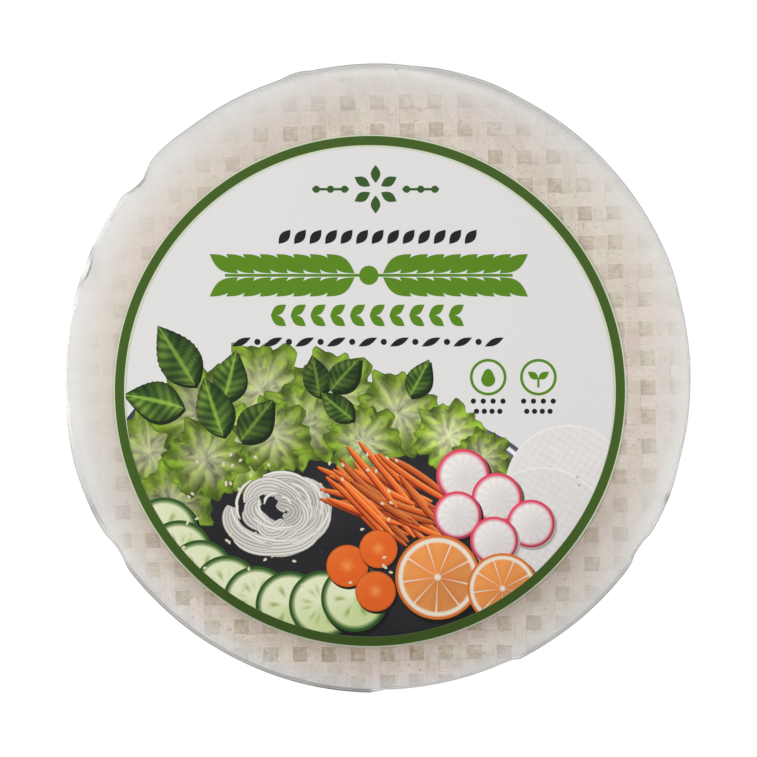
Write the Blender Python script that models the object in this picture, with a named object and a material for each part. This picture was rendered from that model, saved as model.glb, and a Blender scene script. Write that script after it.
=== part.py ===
"""Rice paper wrapper stack: round dried rice papers sealed in clear film, with a round label on top.

Units are metres and +Z is up. The stack lies flat with its label up, and +Y points to the label's top.
The origin is the centre of the whole thing's bounding box, on the surface that it lies on.
"""

import math

import bmesh
import bpy
from mathutils import Vector

# The sealed pack, out to the film's outer surface.
PACK_RADIUS = 0.1117        # to the crest of the film's seam
PACK_HEIGHT = 0.0120        # the sheets, pressed together, and the film on both faces
RIM_STEPS = 240             # points around the rim
EDGE_ROUND = 0.0018         # the film turns over the outermost sheets' edges in a small round
EDGE_STEPS = 4              # facets of that round
SEAM_STAND = 0.0007         # how far the film's seam stands out from the wall, at half height
SEAM_CREST = 0.0004         # its thickness at the crest
SEAM_ROOT = 0.0014          # its thickness where it leaves the wall

# Where the tight film pulls the rim in or the sheets push it out: from one angle to another, from +X
# towards +Y, the angle that it takes to ease off beyond them, and how far out (in, where negative).
RIM_SHAPE = (
    (346, 374, 8, -0.0006),
    (52, 62, 22, 0.0002),
    (70, 77, 9, 0.0006),
    (88, 100, 6, 0.0003),
    (105, 105, 4, 0.0010),
    (131, 134, 4, 0.0004),
    (140, 141, 4, -0.0021),
    (165, 186, 6, -0.0001),
    (196, 205, 7, 0.0004),
    (213, 214, 4, -0.0011),
    (271, 295, 2, -0.0011),
    (326, 328, 3, -0.0011),
)

# The label, a printed disc stuck on the film.
LABEL_RADIUS = 0.0909
LABEL_THICKNESS = 0.0003
LABEL_CENTRE = (-0.0026, -0.0046)    # it isn't quite in the middle of the pack
LABEL_GAP = 0.0003
LABEL_STEPS = 144

# Base colours are linear.
MATERIALS = {
    "rice_paper": {"color": (0.66, 0.58, 0.50), "roughness": 0.45},
    "label_paper": {"color": (0.72, 0.71, 0.69), "roughness": 0.35},
}


def clear_scene():
    for old in list(bpy.data.objects):
        bpy.data.objects.remove(old, do_unlink=True)


def make_material(name):
    values = MATERIALS[name]
    material = bpy.data.materials.new(name)
    material.use_nodes = True
    shader = material.node_tree.nodes["Principled BSDF"]
    shader.inputs["Base Color"].default_value = (*values["color"], 1.0)
    shader.inputs["Roughness"].default_value = values["roughness"]
    shader.inputs["Metallic"].default_value = 0.0
    return material


def add_object(name, mesh_builder, material_name):
    """Wraps a bmesh in an object with one material, shaded smooth but for its edges."""
    bmesh.ops.recalc_face_normals(mesh_builder, faces=mesh_builder.faces)
    mesh = bpy.data.meshes.new(name)
    mesh_builder.to_mesh(mesh)
    mesh_builder.free()
    mesh.shade_smooth()
    mesh.set_sharp_from_angle(angle=math.radians(35))
    mesh.materials.append(make_material(material_name))
    made = bpy.data.objects.new(name, mesh)
    bpy.context.scene.collection.objects.link(made)
    return made


def swell(angle, start, end, slope):
    """1 between start and end, falling smoothly to 0 over slope on either side. All in degrees."""
    middle = (start + end) / 2
    away = abs((angle - middle + 180) % 360 - 180) - (end - start) / 2
    if away >= slope:
        return 0.0
    return 0.5 + 0.5 * math.cos(math.pi * max(away, 0.0) / slope)


def rim_outline():
    """The seam's crest seen from above, with its bounding box centred on the origin."""
    points = []
    for step in range(RIM_STEPS):
        angle = 360 * step / RIM_STEPS
        radius = PACK_RADIUS + sum(out * swell(angle, start, end, slope) for start, end, slope, out in RIM_SHAPE)
        points.append(Vector((radius * math.cos(math.radians(angle)), radius * math.sin(math.radians(angle)))))
    middle = Vector([(max(p[i] for p in points) + min(p[i] for p in points)) / 2 for i in range(2)])
    return [point - middle for point in points]


def wall_profile():
    """(how far in from the seam's crest, height) pairs, from the top face's edge down to the bottom's."""
    half = PACK_HEIGHT / 2
    upper = []
    for step in range(EDGE_STEPS + 1):
        turn = math.radians(90 * step / EDGE_STEPS)
        inset = SEAM_STAND + EDGE_ROUND * (1 - math.sin(turn))
        upper.append((inset, half - EDGE_ROUND * (1 - math.cos(turn))))
    upper.append((SEAM_STAND, SEAM_ROOT / 2))
    upper.append((0.0, SEAM_CREST / 2))
    lower = [(inset, -height) for inset, height in reversed(upper)]
    return [(inset, half + height) for inset, height in upper + lower]


def build_pack():
    """The film's outer shape: a flat round cake with a seam around its middle."""
    outline = rim_outline()
    shape = bmesh.new()
    rings = []
    for inset, height in wall_profile():
        verts = [shape.verts.new((*(point * (1 - inset / point.length)), height)) for point in outline]
        rings.append([shape.edges.new((verts[i - 1], verts[i])) for i in range(RIM_STEPS)])
    for upper, lower in zip(rings, rings[1:]):
        bmesh.ops.bridge_loops(shape, edges=upper + lower)
    for ring in (rings[0], rings[-1]):
        bmesh.ops.edgeloop_fill(shape, edges=ring)
    return add_object("sealed_pack", shape, "rice_paper")


def build_label():
    """A thin disc that lies just above the pack's top face."""
    shape = bmesh.new()
    bmesh.ops.create_circle(shape, cap_ends=True, segments=LABEL_STEPS, radius=LABEL_RADIUS)
    face = bmesh.ops.extrude_face_region(shape, geom=shape.faces[:], use_keep_orig=True)
    raised = [item for item in face["geom"] if isinstance(item, bmesh.types.BMVert)]
    bmesh.ops.translate(shape, verts=raised, vec=(0, 0, LABEL_THICKNESS))
    bmesh.ops.translate(shape, verts=shape.verts, vec=(*LABEL_CENTRE, PACK_HEIGHT + LABEL_GAP))
    return add_object("label", shape, "label_paper")


clear_scene()
build_pack()
build_label()
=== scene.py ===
import math
import random

import bmesh
import bpy
import numpy as np
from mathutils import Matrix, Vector, noise


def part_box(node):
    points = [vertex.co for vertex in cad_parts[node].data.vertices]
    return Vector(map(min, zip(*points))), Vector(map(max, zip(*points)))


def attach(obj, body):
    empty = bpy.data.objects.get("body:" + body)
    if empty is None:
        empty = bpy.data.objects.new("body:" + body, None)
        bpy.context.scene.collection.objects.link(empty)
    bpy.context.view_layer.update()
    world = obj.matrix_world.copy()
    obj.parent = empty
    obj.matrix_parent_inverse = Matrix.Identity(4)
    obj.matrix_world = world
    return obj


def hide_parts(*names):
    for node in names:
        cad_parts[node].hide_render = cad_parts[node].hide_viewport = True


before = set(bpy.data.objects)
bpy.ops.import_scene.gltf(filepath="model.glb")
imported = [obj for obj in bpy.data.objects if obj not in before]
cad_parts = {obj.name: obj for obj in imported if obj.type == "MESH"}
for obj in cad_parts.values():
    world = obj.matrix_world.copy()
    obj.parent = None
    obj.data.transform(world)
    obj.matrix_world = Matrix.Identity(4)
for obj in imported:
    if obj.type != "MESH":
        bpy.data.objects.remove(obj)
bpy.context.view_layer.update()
packLow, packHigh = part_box("sealed_pack")
labelLow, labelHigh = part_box("label")
mm = 0.001
bpy.context.scene.view_settings.view_transform = "Standard"



def linear(red, green, blue):  # a screen colour, 0 to 255, as the renderer's linear one
    def one(value):
        value = value / 255
        return value / 12.92 if value <= 0.04045 else ((value + 0.055) / 1.055) ** 2.4
    return (one(red), one(green), one(blue), 1.0)


def blend(first, second, share):
    share = min(max(share, 0.0), 1.0)
    return tuple(a + (b - a) * share for a, b in zip(first, second))


def lit(colour, factor):
    return tuple(min(255, channel * factor) for channel in colour)


def ease(value, low, high):  # 0 at low, 1 at high, smooth between
    share = np.clip((value - low) / (high - low), 0, 1)
    return share * share * (3 - 2 * share)


class Wire:  # an output socket; arithmetic on it adds Math nodes
    def __init__(self, book, socket):
        self.book = book
        self.socket = socket

    def maths(self, operation, *others):
        return self.book.maths(operation, self, *others)

    def __add__(self, other):
        return self.maths("ADD", other)

    def __radd__(self, other):
        return self.maths("ADD", other)

    def __sub__(self, other):
        return self.maths("SUBTRACT", other)

    def __rsub__(self, other):
        return self.book.maths("SUBTRACT", other, self)

    def __mul__(self, other):
        return self.maths("MULTIPLY", other)

    def __rmul__(self, other):
        return self.maths("MULTIPLY", other)

    def __truediv__(self, other):
        return self.maths("DIVIDE", other)

    def __rtruediv__(self, other):
        return self.book.maths("DIVIDE", other, self)

    def __pow__(self, other):
        return self.maths("POWER", other)

    def __abs__(self):
        return self.maths("ABSOLUTE")


class NodeBook:  # makes the nodes of one tree
    def __init__(self, tree):
        self.tree = tree

    def node(self, kind, settings=None, inputs=None, out=0):
        made = self.tree.nodes.new(kind)
        for key, value in (settings or {}).items():
            if key == "stops":
                self.setStops(made.color_ramp, value)
            else:
                setattr(made, key, value)
        for key, value in (inputs or {}).items():
            if isinstance(value, Wire):
                self.tree.links.new(value.socket, made.inputs[key])
            else:
                made.inputs[key].default_value = value
        return Wire(self, made.outputs[out])

    def setStops(self, ramp, stops):
        while len(ramp.elements) < len(stops):
            ramp.elements.new(0.5)
        for element, (place, colour) in zip(ramp.elements, stops):
            element.position = place
            element.color = colour

    def maths(self, operation, *values):
        return self.node("ShaderNodeMath", {"operation": operation}, dict(enumerate(values)))

    def vectors(self, operation, *values, out=0):
        return self.node("ShaderNodeVectorMath", {"operation": operation}, dict(enumerate(values)), out)

    def parts(self, vector):  # its X, Y and Z
        split = self.node("ShaderNodeSeparateXYZ", None, {0: vector}).socket.node
        return [Wire(self, socket) for socket in split.outputs]

    def joined(self, x, y, z):
        return self.node("ShaderNodeCombineXYZ", None, {0: x, 1: y, 2: z})

    def rise(self, value, low, high, bottom=0.0, top=1.0):  # from bottom to top, smooth between low and high
        ends = {0: value, 1: low, 2: high, 3: bottom, 4: top}
        return self.node("ShaderNodeMapRange", {"interpolation_type": "SMOOTHSTEP"}, ends)

    def clouds(self, where, scale, detail=2.0, roughness=0.5, out=0, distortion=0.0):
        values = {"Vector": where, "Scale": scale, "Detail": detail, "Roughness": roughness,
                  "Distortion": distortion}
        return self.node("ShaderNodeTexNoise", None, values, out)

    def mixed(self, share, first, second, mode="MIX"):
        return self.node("ShaderNodeMix", {"data_type": "RGBA", "blend_type": mode},
                         {0: share, 6: first, 7: second}, out=2)


class Finish(NodeBook):  # a material around one Principled shader
    def __init__(self, name, fixed):
        self.material = bpy.data.materials.new(name)
        self.material.use_nodes = True
        super().__init__(self.material.node_tree)
        self.shader = self.tree.nodes["Principled BSDF"]
        self.output = self.tree.nodes["Material Output"]
        for key, value in fixed.items():
            self.shader.inputs[key].default_value = value
        self.place = self.node("ShaderNodeTexCoord", out=3)  # object coordinates, in metres

    def feed(self, key, wire):
        self.tree.links.new(wire.socket, self.shader.inputs[key])

    def bump(self, height, distance, strength=1.0):
        values = {"Height": height, "Distance": distance, "Strength": strength}
        self.feed("Normal", self.node("ShaderNodeBump", None, values))


class Shaper(NodeBook):  # a Geometry Nodes tree with named inputs, run once into a plain mesh
    kinds = {int: "NodeSocketInt", float: "NodeSocketFloat", tuple: "NodeSocketVector"}

    def __init__(self, name, values):
        tree = bpy.data.node_groups.new(name, "GeometryNodeTree")
        super().__init__(tree)
        self.values = values
        for key, value in values.items():
            kind = self.kinds.get(type(value), "NodeSocketMaterial")
            tree.interface.new_socket(name=key, in_out="INPUT", socket_type=kind)
        tree.interface.new_socket(name="Geometry", in_out="OUTPUT", socket_type="NodeSocketGeometry")
        entry = tree.nodes.new("NodeGroupInput")
        self.given = {socket.name: Wire(self, socket) for socket in entry.outputs if socket.name}
        self.exit = tree.nodes.new("NodeGroupOutput")

    def position(self):
        return self.node("GeometryNodeInputPosition")

    def moved(self, geometry, **change):
        return self.node("GeometryNodeSetPosition", None, {"Geometry": geometry, **change})

    def run(self, geometry):  # closes the tree and returns the mesh that it makes
        real = self.node("GeometryNodeRealizeInstances", None, {0: geometry})
        dressed = self.node("GeometryNodeSetMaterial", None, {"Geometry": real, "Material": self.given["Material"]})
        self.tree.links.new(dressed.socket, self.exit.inputs[0])
        holder = bpy.data.objects.new(self.tree.name, bpy.data.meshes.new(self.tree.name))
        bpy.context.scene.collection.objects.link(holder)
        modifier = holder.modifiers.new(self.tree.name, "NODES")
        modifier.node_group = self.tree
        for item in self.tree.interface.items_tree:
            if item.in_out == "INPUT":
                modifier[item.identifier] = self.values[item.name]
        ready = holder.evaluated_get(bpy.context.evaluated_depsgraph_get())
        mesh = bpy.data.meshes.new_from_object(ready)
        bpy.data.objects.remove(holder)
        return mesh


def place(name, mesh, slot, replaces=None, crease=40):  # a finished mesh becomes a piece on the pack
    mesh.name = name
    mesh.shade_smooth()
    mesh.set_sharp_from_angle(angle=math.radians(crease))
    made = bpy.data.objects.new(name, mesh)
    bpy.context.scene.collection.objects.link(made)
    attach(made, "root")
    if replaces:
        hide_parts(replaces)
    print(f"{name}: {len(mesh.polygons)} faces")
    return made


def coords(mesh):
    values = np.zeros(len(mesh.vertices) * 3)
    mesh.vertices.foreach_get("co", values)
    return values.reshape(-1, 3)


def setCoords(mesh, values):
    mesh.vertices.foreach_set("co", values.ravel())
    mesh.update()



class Outline:  # how far the film's seam stands from the origin, at any angle in radians
    def __init__(self, node):
        points = coords(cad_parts[node].data)
        reach = np.hypot(points[:, 0], points[:, 1])
        turn = np.arctan2(points[:, 1], points[:, 0]) % (2 * math.pi)
        bins = 240
        index = np.round(turn / (2 * math.pi) * bins).astype(int) % bins
        self.angles = np.arange(bins) * 2 * math.pi / bins
        self.reach = np.array([reach[index == i].max() for i in range(bins)])

    def at(self, angle):
        return np.interp(angle, self.angles, self.reach, period=2 * math.pi)


outline = Outline("sealed_pack")
stack = {
    "sheets": 26,
    "radius": 110.15 * mm,
    "middle": (0.25 * mm, -0.07 * mm),     # of the top sheet
    "thickness": 0.31 * mm,
    "clear": 0.17 * mm,         # from the film's face to the outermost sheet's
    "filmRoom": 0.35 * mm,      # least room from a sheet's edge to the film's wall
    "lean": (-0.2 * mm, 0.25 * mm, 0.0),   # the lowest sheet lies this far from the top one
}
stack["pitch"] = (packHigh.z - packLow.z - 2 * stack["clear"]) / stack["sheets"]

weave = {  # the open mat that the papers dry on, whose imprint they carry
    "pitch": (10.364 * mm, 10.294 * mm),    # from gap to gap, across and up
    "middle": (1.97 * mm, -5.05 * mm),      # a gap's centre
    "turn": math.radians(1.1),
    "bow": 0.55 * mm,                       # how far the strips stray from straight at the rim
    "strip": 0.50,                          # a strip's width, as a share of the pitch
    "relief": 0.10 * mm,
    "cells": 12,                            # grid cells in one pitch
}


labelMiddle = ((labelLow + labelHigh) / 2).xy
label = {
    "radius": (labelHigh.x - labelLow.x) / 2,
    "thickness": 0.14 * mm,
    "bottom": packHigh.z + 0.02 * mm,
    "inkStep": 0.011 * mm,       # between one layer of the print and the next
    "inkRoom": 0.30 * mm,        # for all of the layers
}


def weaveMasks(book, u, v, soft):  # where the strips run and how high; u and v count gaps across and up
    half = weave["strip"] / 2
    sideX = u.maths("FRACT") - 0.5    # from an upright strip's middle line
    sideY = v.maths("FRACT") - 0.5
    upright = 1 - book.rise(abs(sideX), half - soft, half + soft)
    level = 1 - book.rise(abs(sideY), half - soft, half + soft)
    rowSign = (v.maths("FLOOR") * math.pi).maths("COSINE")
    columnSign = (u.maths("FLOOR") * math.pi).maths("COSINE")
    levelWave = ((u - 0.5) * math.pi).maths("COSINE") * rowSign
    uprightWave = 0 - ((v - 0.5) * math.pi).maths("COSINE") * columnSign
    return {"upright": upright, "level": level, "levelWave": levelWave, "uprightWave": uprightWave,
            "sideX": sideX, "sideY": sideY, "cover": upright.maths("MAXIMUM", level)}


film = {
    "around": 960,
    "seamStand": 0.55 * mm,
    "edgeRound": 0.9 * mm,
    "seamWander": 0.55 * mm,      # up and down
    "pucker": 0.28 * mm,          # depth of the fine creases at the rim
    # where the wall draws in behind a wider seam: from and to, the easing beyond them, in degrees, and how far
    "drawnIn": ((147, 154, 2.5, 0.6 * mm), (159, 160, 3.6, 1.4 * mm), (168, 184, 5, 0.6 * mm),
                (207, 208, 3, 0.6 * mm)),
    # where the sheets keep off the wall, and where the seam is crumpled, given in the same way
    "loose": ((40, 76, 11, 1.5 * mm),),
    "crumpled": ((103, 107, 2.5, 0.5 * mm), (299, 301, 2, 0.4 * mm)),
    # how milky and how grey the gathered film is, by angle in degrees; the grey is partly the film's own and partly
    # painted shade where the lamps light it less
    "look": ((0, 0.75, 0.02), (20, 0.75, 0.10), (30, 0.80, 0.14), (45, 0.85, 0.22), (60, 0.95, 0.28),
             (80, 0.95, 0.36), (95, 0.90, 0.34), (105, 0.90, 0.36), (112, 0.75, 0.40), (124, 0.75, 0.38),
             (137, 0.60, 0.25), (141, 0.90, 0.70),
             (144, 0.45, 0.20), (154, 0.40, 0.15), (157, 0.80, 0.60),
             (159.5, 0.97, 1.1), (162, 0.70, 0.60), (164, 0.30, 0.15), (168, 0.15, 0.08),
             (186, 0.15, 0.08), (192, 0.50, 0.30), (201, 0.75, 0.35), (207, 0.95, 0.75), (210, 0.60, 0.30),
             (215.5, 0.50, 0.30), (217, 0.90, 0.60), (245, 0.93, 0.62), (257, 0.95, 0.75), (263, 0.97, 1.0),
             (268.4, 1.0, 1.1), (269.6, 0.50, 0.40), (296, 0.50, 0.40), (299, 0.90, 0.50), (323, 0.90, 0.42),
             (327, 0.50, 0.30), (332, 0.70, 0.12), (336, 0.70, 0.15), (337.5, 0.90, 0.80), (339, 0.70, 0.05)),
}


def swell(angle, start, end, slope):  # 1 between start and end, falling smoothly to 0 beyond them; degrees
    away = abs((angle - (start + end) / 2 + 180) % 360 - 180) - (end - start) / 2
    return 0.5 + 0.5 * np.cos(math.pi * np.clip(away / slope, 0, 1))


def along(name, turn):      # one of the film's stretches in millimetres, at any angle
    return sum(depth * swell(np.degrees(turn), start, end, slope) for start, end, slope, depth in film[name])


def wallReach(turn):    # how far the film's wall stands from the middle
    return outline.at(turn) - film["seamStand"] - along("drawnIn", turn)


def sheetReach(turn):   # how far the sheets may reach
    return wallReach(turn) - stack["filmRoom"] - along("loose", turn)


def fitInFilm(mesh):  # pulls a sheet's rim in wherever the film is tighter than the sheet
    points = coords(mesh)
    turn = np.arctan2(points[:, 1], points[:, 0])
    reach = np.hypot(points[:, 0], points[:, 1])
    limit = sheetReach(turn)
    start = 0.82 * stack["radius"]
    top = stack["radius"] + 0.3 * mm      # nothing is made wider than this
    softened = start + (reach - start) * np.clip((limit - start) / (top - start), 0, 1)
    wanted = np.where(reach > start, np.minimum(reach, np.maximum(softened, reach - 3 * mm)), reach)
    wanted = np.where(reach > limit, limit - 0.02 * mm, wanted)
    scale = np.where(reach > start, np.minimum(wanted, limit) / np.maximum(reach, 1e-9), 1)
    points[:, 0] *= scale
    points[:, 1] *= scale
    setCoords(mesh, points)



def plainFinish():  # the papers inside show only their edges
    finish = Finish("rice_paper_edges", {"Roughness": 0.5, "Specular IOR Level": 0.35})
    x, y, z = finish.parts(finish.place)
    tone = finish.clouds(finish.joined(x * 40, y * 40, z * 2600), 1.0, 2.0)
    fleck = finish.clouds(finish.place, 900.0, 2.0)
    colour = finish.mixed(tone, linear(212, 205, 195), linear(236, 232, 225))
    finish.feed("Base Color", finish.mixed(finish.rise(fleck, 0.55, 0.7) * 0.4, colour, linear(180, 170, 158)))
    finish.bump(fleck, 0.05 * mm, 0.4)
    return finish.material


def wovenFinish():
    look = {
        "strip": linear(225, 215, 202),
        "stripPink": linear(226, 212, 204),
        "gap": linear(207, 195, 176),
        "gapDark": linear(180, 164, 144),
        # the next two colour the strips' painted shadow line, also used for specks, and their painted highlight line
        "line": linear(164, 147, 130),
        "highlightLine": linear(234, 227, 217),
        "shade": linear(190, 175, 159),
        "mean": linear(218, 208, 196),
        "rim": linear(233, 232, 230),
        "rimShade": linear(228, 225, 220),
    }
    finish = Finish("rice_paper", {"Roughness": 0.52, "Specular IOR Level": 0.3})
    x, y, z = finish.parts(finish.place)
    mat = finish.node("ShaderNodeAttribute", {"attribute_name": "mat"}, out=1)
    warp = finish.vectors("SUBTRACT", finish.clouds(finish.place, 75.0, 2.0, out=1), (0.5, 0.5, 0.5))
    ragged = finish.vectors("SUBTRACT", finish.clouds(finish.place, 620.0, 2.0, 0.7, out=1), (0.5, 0.5, 0.5))
    bent = finish.vectors("MULTIPLY_ADD", warp, (0.10, 0.10, 0.0), mat)
    u, v, level = finish.parts(finish.vectors("MULTIPLY_ADD", ragged, (0.075, 0.075, 0.0), bent))
    masks = weaveMasks(finish, u, v, 0.02)
    onTop = finish.rise(masks["levelWave"] - masks["uprightWave"], -0.05, 0.05)
    levelShows = masks["level"] * onTop.maths("MAXIMUM", 1 - masks["upright"])

    # fibres run along each strip, and across the gaps
    alongX = finish.clouds(finish.joined(u * 1.4, v * 17, 0.0), 1.0, 3.0, 0.65)
    alongY = finish.clouds(finish.joined(u * 17, v * 1.4, 0.7), 1.0, 3.0, 0.65)
    share = levelShows.maths("MAXIMUM", 1 - masks["cover"])
    fibres = finish.node("ShaderNodeMix", {"data_type": "FLOAT"}, {0: share, 2: alongY, 3: alongX})

    # a strip differs a little in tone and hue from one crossing to the next
    crossing = finish.joined(masks["sideX"] - u, masks["sideY"] - v, levelShows.maths("ROUND"))
    cell = finish.node("ShaderNodeTexWhiteNoise", {"noise_dimensions": "3D"}, {"Vector": crossing})
    patch = finish.clouds(finish.place, 34.0, 3.0)
    strip = finish.mixed(finish.rise(patch, 0.4, 0.6), look["strip"], look["stripPink"])
    strip = finish.mixed((cell - 0.3) * 0.45, strip, look["shade"])

    # painted shade: a gap is darker towards its left and lower edges, where the strips beside the hollow shade it
    acrossGap = (u + 0.5).maths("FRACT") - 0.5
    upGap = (v + 0.5).maths("FRACT") - 0.5
    away = finish.rise(acrossGap, -0.24, -0.06).maths("MINIMUM", finish.rise(upGap, -0.24, -0.08))
    blotch = finish.clouds(finish.joined(u * 4.3, v * 4.3, 4.0), 1.0, 4.0, 0.65)
    whole = finish.joined(u - acrossGap, v - upGap, 3.0)
    own = finish.node("ShaderNodeTexWhiteNoise", {"noise_dimensions": "3D"},
                      {"Vector": finish.vectors("SNAP", whole, (0.5, 0.5, 0.5))})
    # the gap's colour: painted shade at its left and lower edges, plus its own blotches and tone
    gap = finish.mixed((1 - away) * 0.45 + (blotch - 0.44) * 2.3 + (own - 0.55) * 0.9, look["gap"], look["gapDark"])
    base = finish.mixed(masks["cover"], gap, strip)

    # the imprint of the paper below shows through, turned and faint
    below = weaveMasks(finish, u * 0.9985 + v * 0.055 + 0.31, v * 0.9985 - u * 0.055 + 0.43, 0.06)
    base = finish.mixed((1 - below["cover"]) * 0.22, base, look["gapDark"])
    base = finish.mixed((fibres - 0.42) * 1.1, base, look["shade"])
    mottle = finish.clouds(finish.place, 560.0, 4.0, 0.7)
    base = finish.mixed((mottle - 0.47) * 1.7, base, look["shade"])
    hatch = finish.clouds(finish.joined(u * 2.2, v * 26, 1.3), 1.0, 2.0)
    rough = (fibres - 0.48) * 0.35 + (hatch - 0.5) * 0.25 + (mottle - 0.47) * 0.9
    depth = 1 - (1 - masks["cover"]) * rough
    base = finish.vectors("MULTIPLY", base, finish.joined(depth, depth, depth))
    hue = finish.rise(finish.clouds(finish.place, 120.0, 3.0, 0.6), 0.38, 0.62)
    base = finish.mixed(1.0, base, finish.mixed(hue, (1.015, 0.985, 0.985, 1), (0.985, 1.01, 0.97, 1)), "MULTIPLY")

    # strips have a pale painted highlight line on one edge and a darker painted shadow line on the other
    half = weave["strip"] / 2
    broken = finish.clouds(finish.place, 330.0, 3.0)
    upEdges = masks["level"] * onTop
    leftEdge = 1 - finish.rise(abs(masks["sideX"] + half - 0.02), 0.0, 0.022)
    rightEdge = 1 - finish.rise(abs(masks["sideX"] - half), 0.0, 0.026)
    lowEdge = 1 - finish.rise(abs(masks["sideY"] + half - 0.02), 0.0, 0.022)
    topEdge = 1 - finish.rise(abs(masks["sideY"] - half), 0.0, 0.026)
    sideShows = 1 - upEdges
    levelEdgeShows = 1 - masks["upright"] * (1 - onTop)
    highlightEdge = (leftEdge * sideShows).maths("MAXIMUM", lowEdge * levelEdgeShows)
    # dark marks the edges that get the painted shadow line
    dark = (rightEdge * sideShows).maths("MAXIMUM", topEdge * levelEdgeShows)
    base = finish.mixed(highlightEdge * finish.rise(broken, 0.35, 0.6) * 0.6, base, look["highlightLine"])
    base = finish.mixed(dark * finish.rise(broken, 0.62, 0.4) * 0.55, base, look["line"])
    fine = finish.rise(finish.clouds(finish.place, 1300.0, 2.0, 0.6), 0.58, 0.72)
    spots = finish.rise(finish.clouds(finish.place, 640.0, 2.0), 0.66, 0.74)
    dashes = finish.rise(finish.clouds(finish.joined(x * 420, y * 1300, 2.0), 1.0, 1.0), 0.70, 0.76)
    base = finish.mixed(fine * 0.45, base, look["shade"])
    base = finish.mixed(spots.maths("MAXIMUM", dashes) * 0.7, base, look["line"])

    # it is crisper at the label's foot, but softer at its right
    calm = finish.rise(x, 0.015, 0.06) * finish.rise(y, -0.02, -0.06)
    crisp = finish.rise(y, -0.02, -0.09, 0.95, 1.35) - calm * 0.42
    away = finish.vectors("SUBTRACT", base, look["mean"][:3])
    strong = finish.vectors("MULTIPLY_ADD", away, finish.joined(crisp, crisp, crisp), look["mean"][:3])
    base = finish.vectors("MAXIMUM", strong, (0.16, 0.13, 0.10))

    # the imprint fades towards the rim, sooner at the left, and the paper is painted paler there, as light coming
    # through its thin rim
    drift = (finish.clouds(finish.place, 26.0, 3.0) - 0.5) * 9 * mm
    reach = finish.vectors("LENGTH", finish.joined(x, y, 0.0), out=1)
    fade = finish.rise(reach + drift + y * 0.024, 0.1058, 0.1138)
    faint = finish.rise(y * 0.35 - x * 0.8 + drift * 2, 0.045, 0.080, 0.0, 0.54)
    keep = (1 - fade * 0.62) * (1 - faint)
    base = finish.mixed(keep, look["mean"], base)
    clouded = finish.mixed(finish.clouds(finish.place, 55.0, 4.0, 0.6), look["rimShade"], look["rim"])
    # whiter is painted light: the rim mixed towards the pale rim colours
    whiter = finish.node("ShaderNodeMapRange", None, {0: reach - x * 0.01, 1: 0.093, 2: 0.1110, 3: 0.0, 4: 0.85})
    whiter = whiter * finish.rise(y, -0.03, -0.10, 1.0, 0.38) + faint * finish.rise(reach, 0.098, 0.106) * 0.4
    lower = finish.rise(y, 0.035, -0.05)
    foot = finish.rise(y, -0.05, -0.10)
    edge = finish.rise(reach, 0.1040, 0.1095)
    base = finish.mixed(whiter + edge * lower * (0.3 - foot * 0.12), base, clouded)
    cast = finish.rise(finish.clouds(finish.place, 150.0, 2.0, 0.6), 0.4, 0.6)
    base = finish.mixed(1.0, base, finish.mixed(cast, (1.005, 0.995, 1.003, 1), (0.996, 1.004, 0.996, 1)), "MULTIPLY")
    # painted light: lighter at the right, the rim, the foot and the lower left, darker at the top and beside the
    # label's lower right, and cooler on the foot's rim
    paintedLight = finish.rise(x, 0.065, 0.105, 1.0, 1.05) - finish.rise(y, 0.06, 0.10, 0.0, 0.07)
    paintedLight = paintedLight + foot * 0.05 + edge * (0.04 + lower * 0.08)
    paintedLight = paintedLight + finish.rise(x, -0.01, -0.06) * finish.rise(y, -0.04, -0.07) * 0.09
    paintedLight = paintedLight - calm * finish.rise(reach, 0.104, 0.096) * 0.11
    cool = edge * foot
    paintedLight = paintedLight + cool * 0.02
    tint = finish.joined(paintedLight, paintedLight * (1 + cool * 0.03), paintedLight * (1 + cool * 0.09))
    base = finish.vectors("MULTIPLY", base, tint)

    # a soft brown painted shadow along the label's lower edge
    fromLabel = finish.vectors("SUBTRACT", finish.joined(x, y, 0.0), (*labelMiddle, 0.0))
    gone = finish.vectors("LENGTH", fromLabel, out=1) - label["radius"]
    labelShadow = (1 - finish.rise(gone, -0.001, 0.0085)) * finish.rise(y, -0.015, -0.075, 0.12, 1.0)
    labelShadow = labelShadow * finish.rise(z, packLow.z, packHigh.z)    # not on the lowest paper
    finish.feed("Base Color", finish.mixed(labelShadow * 0.42, base, linear(150, 128, 108)))
    finish.bump(fibres * 0.4 + masks["cover"] * 0.5 + fine * 0.3, 0.03 * mm, 0.3)
    return finish.material


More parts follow.
